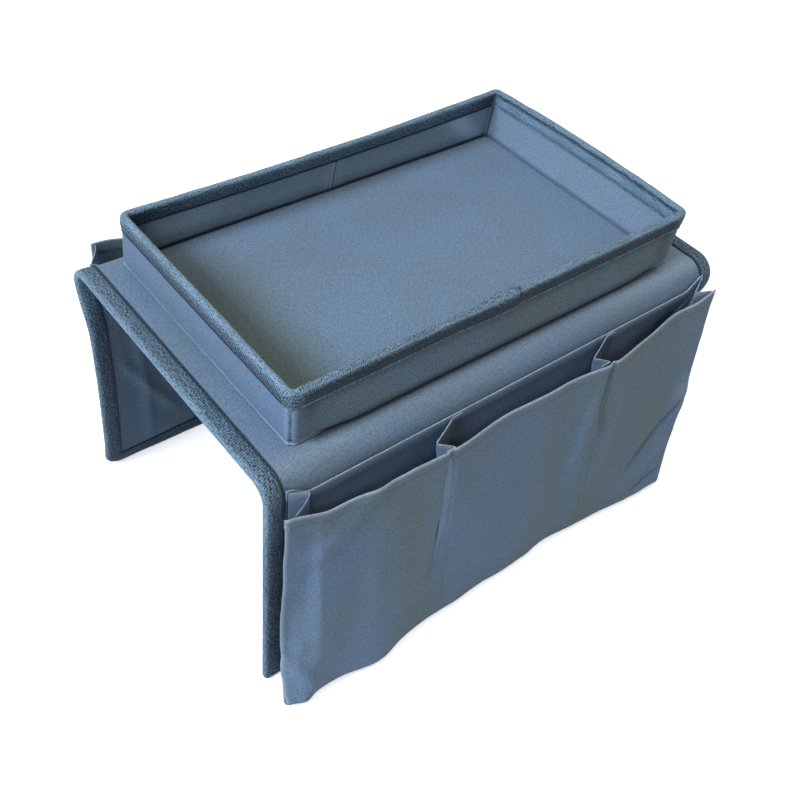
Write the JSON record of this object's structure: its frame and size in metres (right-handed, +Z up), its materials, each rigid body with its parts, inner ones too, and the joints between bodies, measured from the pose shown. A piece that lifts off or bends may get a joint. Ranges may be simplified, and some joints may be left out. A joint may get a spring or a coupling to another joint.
{
  "type": "sofa armrest organizer",
  "caption": "Fabric organizer that sits across a sofa arm: an open tray on a saddle, with a hanging flap of bellows pockets on each side.",
  "frame": {"origin": "on the ground, midway between the two flaps and midway along the saddle", "axes": "+X along the sofa arm, +Y across it towards the far flap, +Z up"},
  "size_m": [0.3774, 0.298, 0.2376],
  "materials": {
    "slate_oxford": "matt plain-weave polyester",
    "slate_lining": "matt plain-weave polyester",
    "ribbed_binding": "ribbed woven tape",
    "grey_board": "pressed grey board"
  },
  "bodies": {
    "saddle": {"saddle_cover": "slate_oxford", "saddle_board": "grey_board", "saddle_lining": "slate_lining", "saddle_tape_left": "ribbed_binding", "saddle_tape_right": "ribbed_binding", "tray_floor": "slate_oxford", "tray_floor_board": "grey_board", "tray_wall_outer": "slate_oxford", "tray_wall_inner": "slate_oxford", "tray_board_near": "grey_board", "tray_board_far": "grey_board", "tray_board_left": "grey_board", "tray_board_right": "grey_board", "tray_rim_tape": "ribbed_binding", "near_fold_cover": "slate_oxford", "near_fold_lining": "slate_lining", "near_fold_tape_left": "ribbed_binding", "near_fold_tape_right": "ribbed_binding", "far_fold_cover": "slate_oxford", "far_fold_lining": "slate_lining", "far_fold_tape_left": "ribbed_binding", "far_fold_tape_right": "ribbed_binding"},
    "near_flap": {"near_flap_cover": "slate_oxford", "near_flap_board": "grey_board", "near_flap_lining": "slate_lining", "near_flap_tape": "ribbed_binding", "near_pocket_back": "slate_oxford", "near_gusset_left": "slate_oxford", "near_gusset_right": "slate_oxford", "near_divider_left": "slate_oxford", "near_divider_right": "slate_oxford"},
    "near_pocket": {"near_pocket_front": "slate_oxford"},
    "far_flap": {"far_flap_cover": "slate_oxford", "far_flap_board": "grey_board", "far_flap_lining": "slate_lining", "far_flap_tape": "ribbed_binding", "far_pocket_back": "slate_oxford", "far_gusset_left": "slate_oxford", "far_gusset_right": "slate_oxford", "far_divider_left": "slate_oxford", "far_divider_right": "slate_oxford"},
    "far_pocket": {"far_pocket_front": "slate_oxford"}
  },
  "joints": [
    {"name": "near_flap_fold", "type": "hinge", "parent": "saddle", "child": "near_flap", "pos_m": [0, -0.09825, 0.182], "axis": [-1, 0, 0], "range_deg": [-30, 85], "deforming": ["near_fold_cover", "near_fold_lining", "near_fold_tape_left", "near_fold_tape_right"]},
    {"name": "near_pocket_mouth", "type": "hinge", "parent": "near_flap", "child": "near_pocket", "pos_m": [0, -0.1136, 0.014], "axis": [1, 0, 0], "range_deg": [-2, 5], "deforming": ["near_gusset_left", "near_gusset_right", "near_divider_left", "near_divider_right"]},
    {"name": "far_flap_fold", "type": "hinge", "parent": "saddle", "child": "far_flap", "pos_m": [0, 0.09825, 0.182], "axis": [1, 0, 0], "range_deg": [-30, 85], "deforming": ["far_fold_cover", "far_fold_lining", "far_fold_tape_left", "far_fold_tape_right"]},
    {"name": "far_pocket_mouth", "type": "hinge", "parent": "far_flap", "child": "far_pocket", "pos_m": [0, 0.1136, 0.014], "axis": [-1, 0, 0], "range_deg": [-2, 5], "deforming": ["far_gusset_left", "far_gusset_right", "far_divider_left", "far_divider_right"]}
  ]
}
